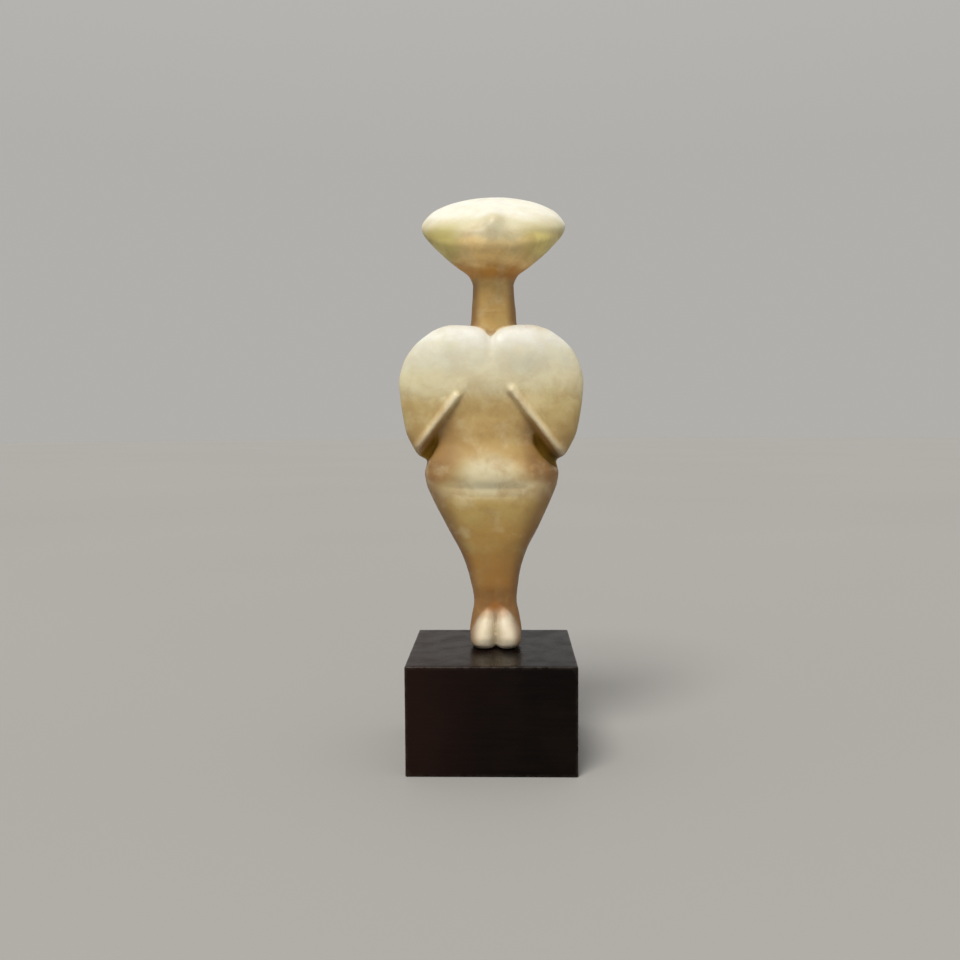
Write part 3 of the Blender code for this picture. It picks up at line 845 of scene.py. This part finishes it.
def carve_idol():
    """The idol's finished surface, with the numbers that its colours follow."""
    idol = even_skin("marble_idol", [body_rings(), head_rings()], SKIN_STEP)
    mesh = idol.data
    pairs = edge_pairs(mesh)
    soften_skin(mesh, pairs)

    places = places_of(mesh)
    out = directions_of(mesh)
    parted = in_parts(places)
    move = wear_and_cuts(parted, facing=ease(-out[:, 1] * FACING_GAIN))
    put_places(mesh, places + out * (move * PART)[:, None])

    x, y, height = parted.T
    masks = {
        "parts_up": height,
        "tight_hollow": hollows(mesh, pairs, TIGHT_LOOK_ROUNDS),
        "wide_hollow": hollows(mesh, pairs, WIDE_LOOK_ROUNDS),
        **body_masks(x, y, height),
        **head_masks(x, height),
    }
    for name, values in masks.items():
        store(mesh, name, values)
    shade_smooth(mesh)
    return idol


class Paint:
    """A node material, built one node at a time."""

    def __init__(self, name):
        self.material = bpy.data.materials.new(name)
        self.material.use_nodes = True
        self.tree = self.material.node_tree
        self.shader = self.tree.nodes["Principled BSDF"]
        self.place = self.add("ShaderNodeTexCoord").outputs["Object"]

    def add(self, kind, **settings):
        """A new node of this kind."""
        made = self.tree.nodes.new(kind)
        for key, value in settings.items():
            setattr(made, key, value)
        return made

    def put(self, socket, value):
        """Joins a socket to another, or sets its value."""
        if isinstance(value, bpy.types.NodeSocket):
            self.tree.links.new(value, socket)
        else:
            socket.default_value = value

    def finish(self, inputs):
        """Puts each value on the shader's input of its name, and gives the material."""
        for name, value in inputs.items():
            self.put(self.shader.inputs[name], value)
        return self.material

    def number(self, name):
        """The number kept at each place under this name."""
        return self.add("ShaderNodeAttribute", attribute_name=name).outputs["Fac"]

    def math(self, operation, *values, clamp=False):
        """The outcome of a calculation with values, such as MULTIPLY."""
        made = self.add("ShaderNodeMath", operation=operation, use_clamp=clamp)
        for socket, value in zip(made.inputs, values):
            self.put(socket, value)
        return made.outputs[0]

    def span(self, value, low, high, to_low=0.0, to_high=1.0):
        """The value moved from one span to another, with soft ends."""
        made = self.add("ShaderNodeMapRange", interpolation_type="SMOOTHSTEP")
        for socket, one in zip(made.inputs, (value, low, high, to_low, to_high)):
            self.put(socket, one)
        return made.outputs[0]

    def clouds(self, size, detail, rough=0.55, warp=0.0, stretch=None):
        """Noise from 0 to 1, with lumps of about this size in metres."""
        made = self.add("ShaderNodeTexNoise")
        place = self.place
        if stretch:
            turned = self.add("ShaderNodeMapping")
            turned.inputs["Scale"].default_value = stretch
            self.put(turned.inputs["Vector"], place)
            place = turned.outputs[0]
        self.put(made.inputs["Vector"], place)
        made.inputs["Scale"].default_value = 1 / size
        made.inputs["Detail"].default_value = detail
        made.inputs["Roughness"].default_value = rough
        made.inputs["Distortion"].default_value = warp
        return made.outputs["Fac"]

    def mix(self, share, first, second):
        """The first colour with the second over it where the share is high."""
        made = self.add("ShaderNodeMix", data_type="RGBA")
        first_socket, second_socket = (one for one in made.inputs if one.type == "RGBA")
        self.put(made.inputs["Factor"], share)
        for socket, colour in ((first_socket, first), (second_socket, second)):
            self.put(socket, (*colour, 1.0) if isinstance(colour, tuple) else colour)
        return next(one for one in made.outputs if one.type == "RGBA")

    def wash(self, colour, share, strength, tint):
        """The colour with a tint over it, at most this strong."""
        return self.mix(self.math("MULTIPLY", share, strength), colour, tint)

    def patch(self, colour, share, clouds, span, strength, tint):
        """The colour with a tint over it in patches that follow clouds."""
        patches = self.math("MULTIPLY", self.span(self.clouds(*clouds), *span), share)
        return self.wash(colour, patches, strength, tint)

    def relief(self, colour, name, depths, strength, tint):
        """The colour with a tint over it that follows how hollow the surface is."""
        return self.wash(colour, self.span(self.number(name), *depths), strength, tint)

    def ramp(self, value, stops):
        """A colour that changes with a value through (place, colour) stops."""
        made = self.add("ShaderNodeValToRGB")
        made.color_ramp.interpolation = "EASE"
        band = made.color_ramp.elements
        while len(band) < len(stops):
            band.new(0.5)
        for element, (place, colour) in zip(band, stops):
            element.position = place
            element.color = (*colour, 1.0)
        self.put(made.inputs[0], value)
        return made.outputs[0]

    def bump(self, height, distance, strength, normal=None):
        """Relief of this height, over the relief that the normal already has."""
        made = self.add("ShaderNodeBump")
        made.inputs["Strength"].default_value = strength
        made.inputs["Distance"].default_value = distance
        self.put(made.inputs["Height"], height)
        if normal is not None:
            self.put(made.inputs["Normal"], normal)
        return made.outputs[0]

    def cloudy_bump(self, clouds, distance, strength, normal=None):
        """Relief that follows clouds."""
        return self.bump(self.clouds(*clouds), distance, strength, normal)


def marble():
    """Old white marble under a honey-brown patina that is thickest on the legs, the neck and the torso, with
    painted light and shade over it.
    """
    paint = Paint("patinated_marble")
    wander = paint.math("SUBTRACT", paint.clouds(*PATINA_WANDER_CLOUDS), 0.5)
    up = paint.math("ADD", paint.number("parts_up"), paint.math("MULTIPLY", wander, PATINA_WANDER))
    share_up = paint.math("DIVIDE", up, PATINA_TALL)
    colour = paint.ramp(share_up, [(height / PATINA_TALL, tone) for height, tone in PATINA_UP])
    for name, strength, tint in TINTS:
        colour = paint.wash(colour, paint.number(name), strength, tint)

    # Patches where the patina is thicker or worn off, and fine speckles, all fainter on the pale stone
    patina = paint.ramp(share_up, [(share, (strength,) * 3) for share, strength in PATCHES_UP])
    colour = paint.patch(colour, patina, *BROWN_PATCHES)
    colour = paint.patch(colour, paint.span(up, *PALE_PATCHES_UP), *PALE_PATCHES)
    colour = paint.patch(colour, 1.0, *GREEN_PATCHES)
    colour = paint.patch(colour, patina, *FLECKS)
    # Painted shade on the left hip below the elbow, broken into patches
    colour = paint.patch(colour, paint.number("hip_shade"), *HIP_SHADE_PATCHES)

    # Darker in tight hollows, painted shade in wide hollows, the darkest painted shade in the pockets under
    # the elbows, the left elbow's painted shadow on the hip, and edges rubbed bright
    colour = paint.relief(colour, *TIGHT_HOLLOW_DARKENING)
    colour = paint.relief(colour, *WIDE_HOLLOW_SHADE)
    slot_shade = paint.math("MULTIPLY", paint.number("slot_shade"), SLOT_GAIN, clamp=True)
    colour = paint.mix(slot_shade, colour, SLOT_SHADE_TINT)
    colour = paint.wash(colour, paint.number("shade"), SHADE_STRENGTH, SHADE_TINT)
    colour = paint.relief(colour, *RUBBED)

    smears = paint.span(paint.clouds(*STONE_SMEARS), *STONE_ROUGHNESS)
    dulling = paint.math("MULTIPLY", slot_shade, SLOT_DULLING)
    return paint.finish({
        "Base Color": colour,
        "Roughness": paint.math("ADD", smears, slot_shade, clamp=True),
        "Specular IOR Level": paint.math("SUBTRACT", STONE_SPECULAR, dulling),
        "Subsurface Weight": SUNK_LIGHT,
        "Subsurface Radius": SUNK_LIGHT_COLOURS,
        "Subsurface Scale": SUNK_LIGHT_DEPTH,
        "Normal": paint.cloudy_bump(*WORN_STONE, paint.cloudy_bump(*CRYSTALS)),
    })


def black_wood():
    """Near-black satin lacquer over a close grain that runs from side to side, with a painted reddish-brown
    reflection towards -X.
    """
    paint = Paint("black_lacquered_wood")
    lines = paint.clouds(*WOOD_LINES)
    tone = paint.ramp(lines, WOOD_TONES)
    tone = paint.mix(paint.span(paint.clouds(*WOOD_CLOUDS), *WOOD_CLOUD_SHARE), tone, WOOD_CLOUD_TONE)
    # Painted reflection, reddish-brown towards the block's -X side
    sides = paint.add("ShaderNodeSeparateXYZ")
    paint.put(sides.inputs[0], paint.place)
    tone = paint.mix(paint.span(sides.outputs["X"], *PAINTED_REFLECTION_SHARE), tone, PAINTED_REFLECTION_TONE)
    edge = paint.span(paint.number("edge"), *SCUFF_SHARE)
    scuff = paint.math("MULTIPLY", edge, paint.span(paint.clouds(*SCUFF_CLOUDS), *SCUFF_SPAN))
    return paint.finish({
        "Base Color": paint.mix(scuff, tone, SCUFF_TONE),
        "Roughness": paint.span(paint.clouds(*LACQUER_SMEARS), *LACQUER_ROUGHNESS),
        "Specular IOR Level": LACQUER_SPECULAR,
        "Normal": paint.cloudy_bump(*LACQUER_WAVES, paint.bump(lines, *WOOD_RELIEF)),
    })


def floor_paper():
    """Plain pale paper, nearly even in tone."""
    paint = Paint("pale_floor")
    return paint.finish({
        "Base Color": paint.ramp(paint.clouds(*FLOOR_CLOUDS), FLOOR_TONES),
        "Roughness": FLOOR_ROUGHNESS,
        "Normal": paint.cloudy_bump(*FLOOR_RELIEF),
    })


def object_of(name, shape):
    """A mesh object in the scene with this shape, which is freed."""
    mesh = bpy.data.meshes.new(name)
    shape.to_mesh(mesh)
    shape.free()
    made = bpy.data.objects.new(name, mesh)
    bpy.context.scene.collection.objects.link(made)
    return made


def make_block():
    """The block, with rounded edges that are a little rubbed and faces that aren't quite flat."""
    shape = bmesh.new()
    bmesh.ops.create_cube(shape, size=1.0)
    bmesh.ops.scale(shape, vec=BLOCK_HIGH - BLOCK_LOW, verts=shape.verts)
    bmesh.ops.translate(shape, vec=(BLOCK_LOW + BLOCK_HIGH) / 2, verts=shape.verts)
    bmesh.ops.bevel(shape, geom=shape.edges[:], offset=BLOCK_EDGE, segments=BLOCK_EDGE_STEPS,
                    profile=0.5, affect="EDGES")
    for _ in range(BLOCK_CUT_ROUNDS):
        long_edges = [edge for edge in shape.edges if edge.calc_length() > 2 * BLOCK_STEP]
        if not long_edges:
            break
        bmesh.ops.subdivide_edges(shape, edges=long_edges, cuts=1, use_grid_fill=True)
    made = object_of("lacquered_block", shape)

    mesh = made.data
    places = places_of(mesh)
    from_faces = np.minimum(places - np.array(BLOCK_LOW), np.array(BLOCK_HIGH) - places)
    from_edge = np.sort(from_faces, axis=1)[:, 1]
    edge = 1 - ease(from_edge / BLOCK_RUBBED)
    share, size, seed = BLOCK_WAVE
    wave = grain(places, size, seed) * share + grain(places, *BLOCK_EDGE_WAVE) * edge
    is_base = places[:, 2] < BLOCK_LOW.z + BLOCK_BASE_KEPT
    inward = BLOCK_SWELL * (wave - BLOCK_WAVE_TOP) * ~is_base
    put_places(mesh, places + directions_of(mesh) * inward[:, None])
    store(mesh, "edge", edge)
    shade_smooth(mesh)
    return made


def make_floor():
    """A round floor that reaches far past the picture."""
    shape = bmesh.new()
    bmesh.ops.create_circle(shape, cap_ends=True, segments=FLOOR_CORNERS, radius=FLOOR_RADIUS)
    return object_of("floor", shape)


def make_light():
    """One broad soft light from above the front, and an even room around it that is lighter above."""
    key = bpy.data.lights.new("key_light", "SUN")
    key.energy = KEY_POWER
    key.angle = KEY_SPREAD
    key.color = KEY_COLOUR
    made = bpy.data.objects.new("key_light", key)
    made.rotation_euler = Vector(KEY_FROM).to_track_quat("Z", "Y").to_euler()
    bpy.context.scene.collection.objects.link(made)
    world = bpy.data.worlds.new("studio")
    world.use_nodes = True
    tree = world.node_tree
    way = tree.nodes.new("ShaderNodeTexCoord")
    parted = tree.nodes.new("ShaderNodeSeparateXYZ")
    sky = tree.nodes.new("ShaderNodeValToRGB")
    level, above = sky.color_ramp.elements
    level.position = AMBIENT_LEVEL_UP_TO
    level.color = (*AMBIENT_LEVEL, 1.0)
    above.color = (*AMBIENT_ABOVE, 1.0)
    tree.links.new(way.outputs["Generated"], parted.inputs[0])
    tree.links.new(parted.outputs["Z"], sky.inputs[0])
    tree.links.new(sky.outputs[0], tree.nodes["Background"].inputs["Color"])
    bpy.context.scene.world = world


def make_camera():
    """The photograph's viewpoint, level with the forearms and looking slightly down."""
    lens = bpy.data.cameras.new("camera")
    lens.lens = CAMERA_LENS
    lens.sensor_width = CAMERA_SENSOR
    lens.clip_start = CAMERA_NEAREST
    made = bpy.data.objects.new("camera", lens)
    turn = Matrix.Rotation(CAMERA_TURN, 4, "Z")
    tilt = Matrix.Rotation(math.pi / 2 - CAMERA_DOWN, 4, "X")
    roll = Matrix.Rotation(CAMERA_ROLL, 4, "Z")
    made.matrix_world = Matrix.Translation(CAMERA_PLACE) @ turn @ tilt @ roll
    bpy.context.scene.collection.objects.link(made)
    bpy.context.scene.camera = made


make_camera()
make_light()
bpy.context.scene.view_settings.view_transform = "Standard"

idol = carve_idol()
idol.data.materials.append(marble())
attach(idol, "root")
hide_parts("idol")

block = make_block()
block.data.materials.append(black_wood())
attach(block, "root")
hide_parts("stand_block")

floor = make_floor()
floor.data.materials.append(floor_paper())
